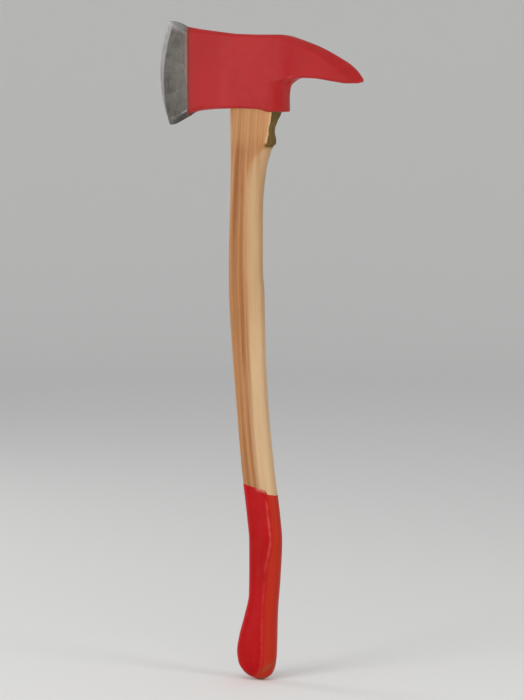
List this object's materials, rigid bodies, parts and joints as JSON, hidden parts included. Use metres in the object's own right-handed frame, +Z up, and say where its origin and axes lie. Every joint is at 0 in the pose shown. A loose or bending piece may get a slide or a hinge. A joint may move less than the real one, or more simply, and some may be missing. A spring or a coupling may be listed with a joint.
{
  "type": "pick-head fire axe",
  "caption": "Pick-head fire axe with a red forged head, bare steel bit and a curved hickory handle whose lower end is red.",
  "frame": {"origin": "on the axis of the eye, level with the underside of the head, which runs from 3 mm above that level in front to 2 mm below it behind, where a wall bracket's fork carries the axe", "axes": "+Z up, from the handle to the head; the bit points to -X and the pick to +X; +Y is across the cheeks"},
  "size_m": [0.2984, 0.0348, 0.9201],
  "materials": {
    "bare_steel": "ground and hand honed, lightly worn",
    "head_enamel": "red enamel paint, satin",
    "hickory": "sanded and oiled",
    "grip_enamel": "red enamel paint, semi-gloss",
    "wedge_wood": "raw end grain, driven and cut flush",
    "wedge_steel": "hammered on top"
  },
  "bodies": {
    "root": {"head_forging": "bare_steel", "head_enamel": "head_enamel", "handle": "hickory", "grip_enamel": "grip_enamel", "wooden_wedge": "wedge_wood", "steel_wedges": "wedge_steel"}
  },
  "joints": []
}
